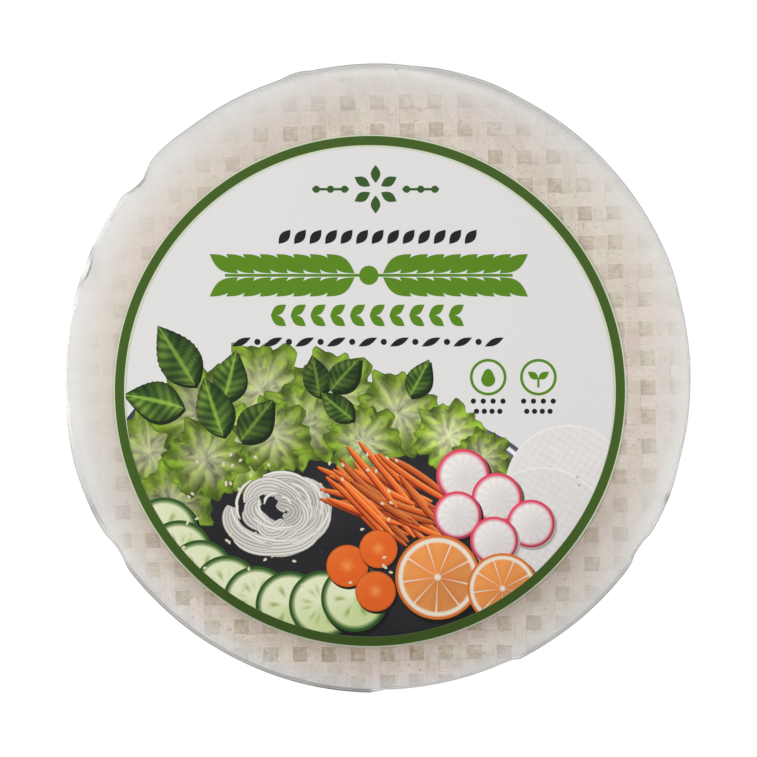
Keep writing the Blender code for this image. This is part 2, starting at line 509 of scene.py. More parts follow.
def filmFinish():  # clear on the faces, milky and grey where it is gathered round the rim; the grey is partly painted shade
    finish = Finish("clear_film", {"Roughness": 0.16, "IOR": 1.49})
    vent = {"place": (6.75 * mm, 109.1 * mm, 0.0), "radius": 0.35 * mm}
    rim = finish.node("ShaderNodeAttribute", {"attribute_name": "rim"}, out=1)
    across, turn, side = finish.parts(rim)       # 0 on the faces to 1 at the seam; the angle; the half
    haze = finish.node("ShaderNodeAttribute", {"attribute_name": "haze"}, out=2)
    grey = finish.node("ShaderNodeAttribute", {"attribute_name": "grey"}, out=2)
    streaks = finish.clouds(finish.joined(turn * 3.5, across * 22, side * 3), 1.0, 3.0, 0.6)
    bands = finish.clouds(finish.joined(turn * 1.3, across * 9, side * 5), 1.0, 2.0)
    gathered = finish.rise(across, 0.22, 0.45)
    lines = (streaks - 0.5) * (0.3 + gathered * 0.7) + (bands - 0.5) * 0.5 * gathered
    # the film's grey with its painted shade by angle, and its crease lines
    tone = grey * (0.3 + gathered * 0.7) + lines * (0.25 + grey * 0.9)
    colour = finish.mixed(tone, linear(233, 232, 229), linear(113, 112, 107))
    x, y, z = finish.parts(finish.place)
    fromVent = finish.vectors("DISTANCE", finish.joined(x, y, 0.0), vent["place"], out=1)
    hole = (1 - finish.rise(fromVent, vent["radius"] * 0.5, vent["radius"] * 1.4)) * finish.rise(side, 0, 1)
    finish.feed("Base Color", finish.mixed(hole * 0.85, colour, linear(70, 68, 66)))
    slope = finish.node("ShaderNodeLayerWeight", None, {"Blend": 0.10}, out=1)  # 0 face on, 1 edge on
    share = haze * (0.75 + streaks * 0.5) + (slope ** 3.0) * (0.12 + haze * 0.5)
    share = (share + hole * 0.8).maths("MINIMUM", 0.96)
    ripple = finish.clouds(finish.place, 140.0, 3.0)
    finish.bump(ripple + streaks * haze, 0.12 * mm, 0.3)
    clear = finish.node("ShaderNodeBsdfTransparent")
    both = finish.node("ShaderNodeMixShader", None, {0: share, 1: clear, 2: Wire(finish, finish.shader.outputs[0])})
    finish.tree.links.new(both.socket, finish.output.inputs["Surface"])
    return finish.material


def labelFinish():
    finish = Finish("label_paper", {"Roughness": 0.42, "Specular IOR Level": 0.25})
    grain = finish.clouds(finish.place, 1800.0, 3.0, 0.6)
    tone = finish.clouds(finish.place, 22.0, 2.0)
    colour = finish.mixed(grain * 0.35 + tone * 0.4, linear(226, 225, 223), linear(219, 217, 216))
    finish.feed("Base Color", colour)
    finish.bump(tone * 2 + grain * 0.4, 0.02 * mm, 0.3)
    return finish.material


def inkFinish():
    finish = Finish("label_ink", {"Roughness": 0.5, "Specular IOR Level": 0.12})
    ink = finish.node("ShaderNodeAttribute", {"attribute_name": "ink"}, out=0)
    grain = finish.clouds(finish.place, 2400.0, 2.0, 0.7)
    mottle = finish.clouds(finish.place, 260.0, 3.0, 0.6)
    spread = 0.86 + grain * 0.10 + mottle * 0.10
    finish.feed("Base Color", finish.mixed(1.0, ink, finish.joined(spread, spread, spread), "MULTIPLY"))
    finish.bump(grain, 0.01 * mm, 0.3)
    return finish.material



def innerPapers(material):
    sizes = {
        "Papers": stack["sheets"] - 2,
        "Edge points": 200,
        "Radius": 109.75 * mm,
        "Thickness": stack["thickness"],
        "Pitch": stack["pitch"],
        "Lowest": packLow.z + stack["clear"] + 1.5 * stack["pitch"],
        "Middle": (*stack["middle"], 0.0),
        "Lean": stack["lean"],
        "Drift": 0.25 * mm,          # how far a paper lies off the stack's middle
        "Wobble": 0.35 * mm,         # of the edge, in and out
        "Wave": 0.07 * mm,           # of the edge, up and down
        "Seed": 11,
        "Material": material,
    }
    tree = Shaper("inner_papers", sizes)
    given = tree.given
    index = tree.node("GeometryNodeInputIndex")
    raised = tree.joined(0.0, 0.0, given["Pitch"])
    line = tree.node("GeometryNodeMeshLine", None,
                     {"Count": given["Papers"], "Start Location": tree.vectors("ADD", given["Middle"], tree.joined(0.0, 0.0, given["Lowest"])),
                      "Offset": raised})
    height = 1 - index / given["Papers"]
    lean = tree.vectors("SCALE", given["Lean"])
    tree.tree.links.new(height.socket, lean.socket.node.inputs[3])
    drift = tree.joined(given["Drift"], given["Drift"], 0.0)
    away = tree.node("FunctionNodeRandomValue", {"data_type": "FLOAT_VECTOR"},
                     {0: tree.vectors("MULTIPLY", drift, (-1, -1, -1)), 1: drift, "Seed": given["Seed"]})
    line = tree.moved(line, Offset=tree.vectors("ADD", lean, away))
    line = tree.node("GeometryNodeStoreNamedAttribute", {"data_type": "FLOAT", "domain": "POINT"},
                     {"Geometry": line, "Name": "paper", "Value": index + 1.0})
    disc = tree.node("GeometryNodeMeshCylinder", {"fill_type": "NGON"},
                     {"Vertices": given["Edge points"], "Side Segments": 2, "Fill Segments": 5,
                      "Radius": given["Radius"], "Depth": given["Thickness"]})
    x, y, z = tree.parts(tree.position())
    tuck = 1 - (z / given["Thickness"] * 2) ** 2.0 * 0.0011   # rounds the edge
    disc = tree.moved(disc, Position=tree.joined(x * tuck, y * tuck, z))
    turn = tree.node("FunctionNodeRandomValue", {"data_type": "FLOAT"},
                     {2: 0.0, 3: 2 * math.pi, "Seed": given["Seed"]}, out=1)
    papers = tree.node("GeometryNodeInstanceOnPoints", None,
                       {"Points": line, "Instance": disc, "Rotation": tree.joined(0.0, 0.0, turn)})
    papers = tree.node("GeometryNodeRealizeInstances", None, {0: papers})
    x, y, z = tree.parts(tree.position())
    number = tree.node("GeometryNodeInputNamedAttribute", {"data_type": "FLOAT"}, {"Name": "paper"})
    flat = tree.joined(x, y, 0.0)
    reach = tree.vectors("LENGTH", flat, out=1)
    outer = tree.rise(reach, 0.085, 0.108)
    own = tree.clouds(tree.joined(x * 16, y * 16, number * 7.3), 1.0, 3.0)
    shared = tree.clouds(tree.joined(x * 22, y * 22, 0.4), 1.0, 2.0)
    ripple = tree.clouds(tree.joined(x * 60, y * 60, number * 0.9), 1.0, 2.0)
    out = 1 + ((own - 0.5) * given["Wobble"] * 2 + (shared - 0.5) * given["Wobble"]) / given["Radius"] * outer
    lift = (ripple - 0.5) * given["Wave"] * 2 * outer
    papers = tree.moved(papers, Position=tree.joined(x * out, y * out, z + lift))
    mesh = tree.run(papers)
    fitInFilm(mesh)
    return place("inner_papers", mesh, "rice_paper")



def wovenMesh(material, radius):
    cells = weave["cells"]
    count = 2 * (int(radius / min(weave["pitch"]) * cells) + 6)
    sizes = {
        "Lines": count + 1,
        "Size": count / cells,               # in pitches
        "Pitch": (*weave["pitch"], 0.0),
        "Middle": (*weave["middle"], 0.0),
        "Turn": weave["turn"],
        "Bow": weave["bow"] / stack["radius"] ** 2,
        "Relief": weave["relief"],
        "Plain rim": radius - 2.2 * mm,     # past this the paper is smooth
        "Material": material,
    }
    tree = Shaper("woven_paper", sizes)
    given = tree.given
    grid = tree.node("GeometryNodeMeshGrid", None,
                     {"Size X": given["Size"], "Size Y": given["Size"],
                      "Vertices X": given["Lines"], "Vertices Y": given["Lines"]})
    x, y, z = tree.parts(tree.position())

    def sharpened(value):   # draws the lines beside a strip's edge up to it
        share = (value + 1e-3).maths("FRACT")
        before = share.maths("COMPARE", 2 / cells, 0.01)
        after = share.maths("COMPARE", 1 - 2 / cells, 0.01)
        return value + (before - after) * 0.045

    grid = tree.moved(grid, Position=tree.joined(sharpened(x), sharpened(y), 0.0))
    grid = tree.node("GeometryNodeStoreNamedAttribute", {"data_type": "FLOAT_VECTOR", "domain": "POINT"},
                     {"Geometry": grid, "Name": "mat", "Value": tree.position()})
    u, v, flat = tree.parts(tree.position())
    masks = weaveMasks(tree, u, v, 0.01)
    levelHigh = masks["level"] * (masks["levelWave"] * 0.45 + 0.55)
    uprightHigh = masks["upright"] * (masks["uprightWave"] * 0.45 + 0.55)
    spot = tree.vectors("MULTIPLY_ADD", tree.position(), given["Pitch"], given["Middle"])
    x, y, flat = tree.parts(spot)
    cosine, sine = given["Turn"].maths("COSINE"), given["Turn"].maths("SINE")
    x, y = x * cosine - y * sine, x * sine + y * cosine
    x, y = x + (x * x - y * y) * given["Bow"], y + x * y * 2 * given["Bow"]
    reach = tree.vectors("LENGTH", tree.joined(x, y, 0.0), out=1)
    inside = 1 - tree.rise(reach, given["Plain rim"] - 5 * mm, given["Plain rim"])
    uneven = tree.clouds(tree.joined(x * 260, y * 260, 0.0), 1.0, 3.0)
    height = levelHigh.maths("MAXIMUM", uprightHigh) * (0.25 + inside * 0.75) + (uneven - 0.5) * 0.35
    grid = tree.moved(grid, Position=tree.joined(x, y, (height - 1) * given["Relief"]))
    return tree.run(grid)


def trimRound(shape, radius):  # cuts a flat mesh to a disc, exactly on the circle
    cuts = []
    for edge in list(shape.edges):
        inner, outer = sorted(edge.verts, key=lambda vert: vert.co.xy.length)
        if inner.co.xy.length < radius < outer.co.xy.length:
            start, run = inner.co.xy, outer.co.xy - inner.co.xy
            a, b, c = run.dot(run), start.dot(run), start.dot(start) - radius * radius
            share = (math.sqrt(b * b - a * c) - b) / a
            cuts.append(bmesh.utils.edge_split(edge, inner, share)[1])
    bmesh.ops.connect_verts(shape, verts=cuts)
    outside = [face for face in shape.faces if face.calc_center_median().xy.length > radius]
    bmesh.ops.delete(shape, geom=outside, context="FACES")
    loose = [vert for vert in shape.verts if not vert.link_faces]
    bmesh.ops.delete(shape, geom=loose, context="VERTS")


def wovenPaper(name, material, height, up, shift=stack["middle"], turn=0.0, radius=stack["radius"]):
    mesh = wovenMesh(material, radius)
    shape = bmesh.new()
    shape.from_mesh(mesh)
    trimRound(shape, radius)
    for vert in shape.verts:        # a thin lip at the edge
        vert.co.z -= 0.04 * mm * float(ease(vert.co.xy.length, radius - 0.6 * mm, radius))
    rim = [edge for edge in shape.edges if edge.is_boundary]
    for drop, reach in ((0.5, 1.0), (0.5, 0.9990)):   # the edge, then the smooth back
        made = bmesh.ops.extrude_edge_only(shape, edges=rim)["geom"]
        for vert in (item for item in made if isinstance(item, bmesh.types.BMVert)):
            vert.co.z -= stack["thickness"] * drop
            vert.co.xy = vert.co.xy.normalized() * radius * reach
        rim = [item for item in made if isinstance(item, bmesh.types.BMEdge) and item.is_boundary]
    bmesh.ops.edgeloop_fill(shape, edges=rim)
    bmesh.ops.recalc_face_normals(shape, faces=shape.faces)
    cosine, sine = math.cos(turn), math.sin(turn)
    for vert in shape.verts:
        x, y, z = vert.co
        wave = noise.noise(Vector((x * 45, y * 45, height * 900))) * 0.05 * mm
        wave *= float(ease(math.hypot(x, y), 0.09, 0.109))
        flipped = x if up else -x
        vert.co = (flipped * cosine - y * sine + shift[0], flipped * sine + y * cosine + shift[1],
                   height + (z + wave if up else -z - wave))
    shape.to_mesh(mesh)
    shape.free()
    fitInFilm(mesh)
    return place(name, mesh, "rice_paper")



def ridges(turn, fine, seed):   # 0 to 1, sharp creases round the rim
    x, y = math.cos(turn), math.sin(turn)
    ridge = 1 - abs(noise.noise(Vector((x * fine, y * fine, seed)))) * 2.6
    patchy = noise.noise(Vector((x * 2.3, y * 2.3, seed + 5))) + 0.35
    return max(0.0, ridge) ** 2 * min(1.0, max(0.15, patchy * 1.6))


def filmRow(side, kind, share, half):  # one ring of the film; side is 1 on the upper half, -1 on the lower
    row = []
    middle = (packHigh.z + packLow.z) / 2
    straight = half - film["edgeRound"]
    angles, milks, greys = zip(*film["look"])
    for i in range(film["around"]):
        turn = 2 * math.pi * i / film["around"]
        degrees = math.degrees(turn)
        wall = float(wallReach(turn))
        sheets = stack["radius"] + stack["middle"][0] * math.cos(turn) + stack["middle"][1] * math.sin(turn)
        flat = min(wall - film["edgeRound"], min(sheets, float(sheetReach(turn))) - 0.1 * mm)
        slope = wall - flat             # it falls from the sheets' edge to the wall in this width
        wide = min(1.0, (slope - film["edgeRound"]) / mm)
        fold = ridges(turn, 34, 1.7 + side)
        wander = film["seamWander"] * noise.noise(Vector((math.cos(turn) * 4, math.sin(turn) * 4, 8)))
        milky = float(np.interp(degrees, angles, milks, period=360))
        # the grey holds the film's own grey and painted shade by angle
        grey = float(np.interp(degrees, angles, greys, period=360))
        drawn = (float(outline.at(turn)) - film["seamStand"] - wall) / (1.4 * mm)
        if kind == "flat":
            reach = flat * share
            near = float(ease(reach, flat - 9 * mm, flat))
            z = side * half - side * film["pucker"] * 0.35 * fold * near
            across = (0.25 + 0.12 * wide) * near
            haze = 0.03 + near ** 3 * 0.22 * min(milky, 0.9) + fold * near * 0.03
            grey = min(grey, 0.4)
        elif kind == "round":
            bend = math.radians(90 * share)
            reach = flat + slope * math.sin(bend) - film["pucker"] * fold * share * 0.8
            z = side * (straight + film["edgeRound"] * math.cos(bend)) - side * film["pucker"] * 0.35 * fold
            across = 0.25 + 0.12 * wide + (0.4 - 0.12 * wide) * share
            haze = milky * (0.5 + 0.35 * share) + fold * 0.08
            grey *= 1 - 0.35 * float(ease(share, 0.7, 1.0))
        elif kind == "wall":
            reach = wall - film["pucker"] * fold * (1 - share * 0.6)
            z = side * straight * (1 - share) + (wander + side * 0.35 * mm) * share
            across, haze = 0.65 + 0.15 * share, 0.07 + 0.1 * share + fold * 0.35
            grey *= 0.1
        else:
            crest = outline.at(turn) - film["seamStand"] * (0.04 - 0.04 * math.sin(turn * 23 + 2 * math.sin(turn * 5)))
            crest -= along("crumpled", turn) * ridges(turn, 95, 3.1)
            reach = wall + (float(crest) - wall) * share
            z = wander + side * (0.35 - 0.27 * share) * mm
            across, haze = 0.8 + 0.2 * share, 0.95 * milky * (1 - 0.8 * drawn)
            grey *= 1 - drawn
        row.append({"place": (math.cos(turn) * reach, math.sin(turn) * reach, middle + z),
                    "rim": (across, turn * 4, side), "haze": min(1.0, haze), "grey": grey})
    return row


def filmSkin(material):
    half = (packHigh.z - packLow.z) / 2
    shape = bmesh.new()
    layers = {"rim": shape.verts.layers.float_vector.new("rim"), "haze": shape.verts.layers.float.new("haze"),
              "grey": shape.verts.layers.float.new("grey")}

    def vertex(values):
        vert = shape.verts.new(values["place"])
        for key, layer in layers.items():
            vert[layer] = values[key]
        return vert

    shares = (0.1, 0.3, 0.5, 0.66, 0.78, 0.84, 0.885, 0.915, 0.94, 0.958, 0.972, 0.984, 0.993, 1.0)
    profile = [("flat", share) for share in shares]
    profile += [("round", (step + 1) / 6) for step in range(6)]
    profile += [("wall", (step + 1) / 6) for step in range(6)]
    profile += [("seam", 0.5), ("seam", 1.0)]
    rings = [[vertex(spot) for spot in filmRow(1, *row, half)] for row in profile]
    rings += [[vertex(spot) for spot in filmRow(-1, *row, half)] for row in reversed(profile)]
    for upper, lower in zip(rings, rings[1:]):
        for i in range(film["around"]):
            shape.faces.new((upper[i - 1], lower[i - 1], lower[i], upper[i]))
    for ring, z in ((rings[0], packHigh.z), (rings[-1], packLow.z)):
        hub = vertex({"place": (0, 0, z), "rim": (0, 0, 0), "haze": 0.03, "grey": 0})
        for i in range(film["around"]):
            shape.faces.new((hub, ring[i - 1], ring[i]))
    bmesh.ops.recalc_face_normals(shape, faces=shape.faces)
    mesh = bpy.data.meshes.new("film")
    mesh.materials.append(material)
    shape.to_mesh(mesh)
    shape.free()
    return place("film", mesh, "clear_film", replaces="sealed_pack", crease=60)


def labelPaper(material):
    shape = bmesh.new()
    bmesh.ops.create_circle(shape, cap_ends=True, segments=360, radius=label["radius"])
    raised = bmesh.ops.extrude_face_region(shape, geom=shape.faces[:], use_keep_orig=True)["geom"]
    raised = [item for item in raised if isinstance(item, bmesh.types.BMVert)]
    bmesh.ops.translate(shape, verts=raised, vec=(0, 0, label["thickness"]))
    bmesh.ops.translate(shape, verts=shape.verts, vec=(*labelMiddle, label["bottom"]))
    bmesh.ops.recalc_face_normals(shape, faces=shape.faces)
    mesh = bpy.data.meshes.new("label_paper")
    mesh.materials.append(material)
    shape.to_mesh(mesh)
    shape.free()
    return place("label_paper", mesh, "label_paper", replaces="label")


class Press:  # lays flat inked shapes on the label, in millimetres from its middle, each over the last
    def __init__(self):
        self.shape = bmesh.new()
        self.ink = self.shape.verts.layers.float_color.new("ink")
        self.layers = np.zeros((220, 220), int)      # how many lie in each square millimetre
        self.limit = label["radius"] / mm - 1.6      # the picture ends under the green ring

    def level(self, rows, closed):  # one layer above whatever lies under this shape
        width = max(len(row) for row in rows)
        full = [row if len(row) > 1 else row * width for row in rows]
        grid = np.array([[spot[:2] for spot in row] for row in full])
        if closed:
            grid = np.concatenate([grid, grid[:, :1]], axis=1)
        for axis in (0, 1):
            gap = np.linalg.norm(np.diff(grid, axis=axis), axis=2).max()
            places = np.linspace(0, grid.shape[axis] - 1, (grid.shape[axis] - 1) * math.ceil(gap / 0.7) + 1)
            low = np.minimum(places.astype(int), grid.shape[axis] - 2)
            part = (places - low).reshape((-1, 1, 1) if axis == 0 else (1, -1, 1))
            grid = grid.take(low, axis) * (1 - part) + grid.take(low + 1, axis) * part
        cells = np.unique(np.round(grid.reshape(-1, 2)).astype(int) + 110, axis=0)
        around = [self.layers[cells[:, 0] + i, cells[:, 1] + j].max() for i in (-1, 0, 1) for j in (-1, 0, 1)]
        mine = max(around) + 1
        self.layers[cells[:, 0], cells[:, 1]] = mine
        return mine

    def inside(self, spot):
        x, y, colour = spot
        away = math.hypot(x, y)
        return spot if away <= self.limit else (x * self.limit / away, y * self.limit / away, colour)

    def patch(self, rows, closed=False):  # rows of (x, y, colour), joined row to row
        if all(math.hypot(x, y) >= self.limit for row in rows for x, y, colour in row):
            return
        rows = [[self.inside(spot) for spot in row] for row in rows]
        height = self.level(rows, closed)
        grid = []
        for row in rows:
            line = []
            for x, y, colour in row:
                vert = self.shape.verts.new((x, y, height))
                vert[self.ink] = linear(*colour)
                line.append(vert)
            grid.append(line)
        for lower, upper in zip(grid, grid[1:]):
            for i in range(0 if closed else 1, len(upper)):
                corners = [lower[i - 1], lower[i]] if len(lower) > 1 else [lower[0]]
                self.shape.faces.new(corners + [upper[i], upper[i - 1]])

    def disc(self, x, y, radius, paint, rings=12, points=48, rim=None):
        # paint gives the colour at (share of the radius, angle); rim bends the outline
        rows = [[(x, y, paint(0.0, 0.0))]]
        for ring in range(1, rings + 1):
            row = []
            for i in range(points):
                turn = 2 * math.pi * i / points
                reach = radius * ring / rings * (rim(turn) if rim else 1)
                row.append((x + reach * math.cos(turn), y + reach * math.sin(turn), paint(ring / rings, turn)))
            rows.append(row)
        self.patch(rows, closed=True)

    def dot(self, x, y, radius, colour, points=24):
        self.disc(x, y, radius, lambda share, turn: colour, rings=1, points=points)

    def ribbon(self, path, width, across, taper=0.35):  # a strand along a path, coloured across its width
        rows = []
        last = len(path) - 1
        for i, point in enumerate(path):
            ahead, behind = path[min(i + 1, last)], path[max(i - 1, 0)]
            run = Vector((ahead[0] - behind[0], ahead[1] - behind[1])).normalized()
            slim = 1 - (1 - taper) * abs(2 * i / last - 1) ** 4
            row = []
            for j, colour in enumerate(across):
                side = (j / (len(across) - 1) - 0.5) * width * slim
                row.append((point[0] - run.y * side, point[1] + run.x * side, colour))
            rows.append(row)
        self.patch(rows)

    def leaf(self, x, y, heading, length, width, paint, fine=(26, 6), plump=0.8, bend=0.0, teeth=0.0):
        # paint gives the colour at (share along, side from -1 to 1); heading in degrees
        along, half = fine
        cosine, sine = math.cos(math.radians(heading)), math.sin(math.radians(heading))
        rows = []
        for i in range(along + 1):
            share = i / along
            reach = width / 2 * math.sin(math.pi * share ** plump) * (1 + teeth * math.sin(share * 80))
            row = []
            for j in range(-half, half + 1):
                px = share * length
                py = j / half * reach + bend * length * share * (1 - share)
                row.append((x + px * cosine - py * sine, y + px * sine + py * cosine, paint(share, j / half)))
            rows.append(row)
        self.patch(rows)

    def mesh(self, material):
        count = self.layers.max() + 1
        step = min(label["inkStep"], label["inkRoom"] / count)
        print(f"print: {count} layers")
        start = label["bottom"] + label["thickness"] + 0.01 * mm
        for vert in self.shape.verts:
            vert.co = (labelMiddle[0] + vert.co.x * mm, labelMiddle[1] + vert.co.y * mm, start + vert.co.z * step)
        slivers = [face for face in self.shape.faces if face.calc_area() < 1e-12]
        bmesh.ops.delete(self.shape, geom=slivers, context="FACES")
        self.shape.normal_update()
        for face in self.shape.faces:
            if face.normal.z < 0:
                face.normal_flip()
        mesh = bpy.data.meshes.new("label_print")
        mesh.materials.append(material)
        self.shape.to_mesh(mesh)
        self.shape.free()
        return mesh


inks = {
    "title": (90, 138, 18),
    "ring": (66, 96, 30),
    "ringHalo": (212, 220, 190),
    "deep": (56, 92, 36),
    "black": (26, 26, 28),
    "slate": (94, 92, 112),
    "slateDark": (58, 58, 76),
    "field": (36, 35, 38),
    "line": (226, 226, 232),
    "shadow": (22, 22, 20),
    "leafDark": (36, 66, 22),
    "leafLight": (118, 148, 54),
    "lettucePale": (232, 236, 182),
    "lettuce": (132, 166, 44),
    "lettuceDark": (66, 96, 24),
    "carrot": (234, 102, 32),
    "carrotDark": (178, 62, 18),
    "carrotLight": (252, 160, 86),
    "noodle": (242, 240, 232),
    "noodleDark": (178, 174, 164),
    "radish": (208, 64, 92),
    "flesh": (247, 240, 237),
    "cucumber": (50, 90, 38),
    "cucumberFlesh": (208, 224, 160),
    "pith": (244, 234, 214),
    "orange": (226, 132, 62),
    "orangeLight": (246, 176, 104),
    "peel": (222, 118, 40),
    "paper": (233, 229, 227),
    "seed": (226, 214, 188),
}


def printLabel(material):
    press = Press()
    dice = random.Random(7)
    drawTray(press)
    drawGreens(press, dice)
    drawRoots(press, dice)
    drawRounds(press, dice)
    drawOrnaments(press)
    drawSigns(press)
    drawRing(press)
    return place("label_print", press.mesh(material), "label_paper")


def drawTray(press):  # a dark slate tray with a pale line along its rim
    tray = {"x": -17, "y": -57, "a": 81, "b": 57, "turn": math.radians(-11), "power": 3.4}
    cosine, sine = math.cos(tray["turn"]), math.sin(tray["turn"])

    def rim(turn):
        a = abs(math.cos(turn) / tray["a"]) ** tray["power"]
        b = abs(math.sin(turn) / tray["b"]) ** tray["power"]
        return (a + b) ** (-1 / tray["power"])

    bands = [(0.0, "field"), (0.2, "field"), (0.4, "field"), (0.6, "field"), (0.72, "field"), (0.80, "field"),
             (0.84, "slateDark"), (0.865, "slate"), (0.91, "slate"), (0.955, "slate"), (0.962, "line"),
             (0.975, "line"), (0.98, "slate"), (1.0, "slateDark")]
    rows = []
    points = 180
    for share, name in bands:
        row = []
        for i in range(points):
            turn = 2 * math.pi * i / points
            reach = rim(turn) * max(share, 0.001)
            px, py = reach * math.cos(turn), reach * math.sin(turn)
            x, y = tray["x"] + px * cosine - py * sine, tray["y"] + px * sine + py * cosine
            glow = 1 + 0.25 * noise.noise(Vector((x / 9, y / 9, 1))) + (0.2 * math.sin(turn * 2) if share > 0.8 else 0)
            row.append((x, y, lit(inks[name], glow)))
        rows.append(row)
    press.patch(rows, closed=True)


def drawGreens(press, dice):
    def lettuce(x, y, radius):
        seed = dice.uniform(0, 50)
        tone = dice.uniform(0.88, 1.08)

        def ruffle(turn):
            return 1 + 0.09 * math.sin(turn * 6 + seed) + 0.07 * math.sin(turn * 11 + seed * 2) \
                + 0.05 * math.sin(turn * 19 + seed * 3)

        def paint(share, turn):
            px, py = math.cos(turn) * share, math.sin(turn) * share
            crinkle = noise.noise(Vector((px * 5, py * 5, seed))) + 0.6 * noise.noise(Vector((px * 11, py * 11, seed)))
            fold = math.sin(turn * 10 + seed + 4 * share + crinkle * 2.5)
            colour = blend(inks["lettucePale"], inks["lettuce"], share ** 1.4 * 1.35 - 0.1 + 0.4 * crinkle)
            colour = lit(colour, tone * (0.86 + 0.26 * fold * share + 0.30 * crinkle))
            vein = max(0.0, 1 - abs(math.sin(turn * 3.5 + seed)) * 12) * (1 - share)
            colour = blend(colour, inks["lettucePale"], vein)
            return blend(colour, inks["lettuceDark"], 0.6) if share > 0.94 else colour

        press.disc(x, y, radius, paint, rings=16, points=76, rim=ruffle)

    def basil(x, y, heading, length, width):
        tone = dice.uniform(0.85, 1.2)
        dark, light = lit(inks["leafDark"], tone), lit(inks["leafLight"], tone)

        def paint(share, side):
            colour = blend(dark, light, 0.35 + 0.25 * side + 0.25 * math.sin(share * 9 + side * 3))
            puff = 0.5 - 0.5 * math.cos(2 * math.pi * (share * 7 - abs(side) * 1.1))  # bulges between its veins
            colour = blend(lit(colour, 0.7), lit(colour, 1.2), puff)
            colour = blend(colour, lit(light, 1.2), 0.8 * max(0.0, 1 - abs(side) * 9))
            return lit(colour, 1 - 0.35 * abs(side) ** 3)

        press.leaf(x + 0.8, y - 1.0, heading, length, width, lambda share, side: lit(dark, 0.55), fine=(14, 1))
        press.leaf(x, y, heading, length, width, paint, bend=dice.uniform(-0.1, 0.1), teeth=0.03)

    for x, y, radius in ((-78, -22, 15), (-60, -8, 17), (-38, 0, 17), (-13, -2, 16), (10, -8, 15), (-70, -40, 14),
                         (-48, -20, 16), (-24, -12, 15), (28, -16, 12)):
        lettuce(x, y, radius)
    for spot in ((-62, 2, 122, 25, 15), (-66, -6, 168, 22, 14), (-52, -4, 76, 19, 12), (-18, -2, 100, 15, 10),
                 (-14, 0, 48, 16, 10), (-80, -36, 205, 16, 11), (14, -2, 62, 15, 9)):
        basil(*spot)
    for x, y, radius in ((-58, -24, 14), (-34, -16, 13), (-2, -18, 13), (-74, -54, 12), (40, -24, 10)):
        lettuce(x, y, radius)
    for spot in ((-52, -16, 108, 22, 13), (-46, -18, 52, 19, 12), (-6, -10, 140, 15, 9)):
        basil(*spot)


def drawRoots(press, dice):
    def strands(colour, shade, count, tone):  # thin strands side by side
        return [lit(shade if i % 3 == 0 else colour, tone * (0.9 + 0.1 * ((i * 7) % 5) / 4))
                for i in range(3 * count + 1)]

    for step in range(15):      # a nest of rice noodles, in skeins
        turn = dice.uniform(0, 2 * math.pi)
        reach = 4 + 14 * (1 - step / 15) + dice.uniform(-1.5, 1.5)
        sweep = dice.uniform(1.6, 2.8)
        squash = dice.uniform(0.72, 0.9)
        path = []
        for i in range(21):
            angle = turn + sweep * i / 20
            wobble = reach + 1.1 * math.sin(angle * 3 + step)
            path.append((-34 + wobble * math.cos(angle), -43 + wobble * squash * math.sin(angle)))
        press.ribbon(path, 6.0, strands(inks["noodle"], inks["noodleDark"], 5, dice.uniform(0.86, 1.0)), 0.55)
    for step in range(14):      # stray ones on top
        turn = dice.uniform(0, 2 * math.pi)
        reach = dice.uniform(6, 19)
        path = []
        for i in range(15):
            angle = turn + dice.uniform(1.2, 1.3) * i / 14
            path.append((-34 + reach * math.cos(angle) + i * 0.3, -43 + reach * 0.8 * math.sin(angle)))
        press.ribbon(path, 1.1, [inks["noodleDark"], inks["noodle"], inks["noodle"], inks["noodleDark"]])
    for step in range(46):      # carrot cut in fine sticks
        x = 6 + dice.uniform(-12, 12)
        y = -38 + dice.uniform(-8, 8)
        heading = math.radians(-36 + dice.uniform(-20, 20))
        length = dice.uniform(20, 36)
        bend = dice.uniform(-0.14, 0.14)
        path = []
        for i in range(11):
            share = i / 10 - 0.5
            bow = bend * (0.25 - share ** 2)
            path.append((x + length * (share * math.cos(heading) - bow * math.sin(heading)),
                         y + length * (share * math.sin(heading) + bow * math.cos(heading))))
        tone = dice.uniform(0.82, 1.06)
        press.ribbon(path, 2.5, [lit(inks[name], tone) for name in ("shadow", "carrotDark", "carrot", "carrot",
                                                                   "carrotLight", "carrot")])


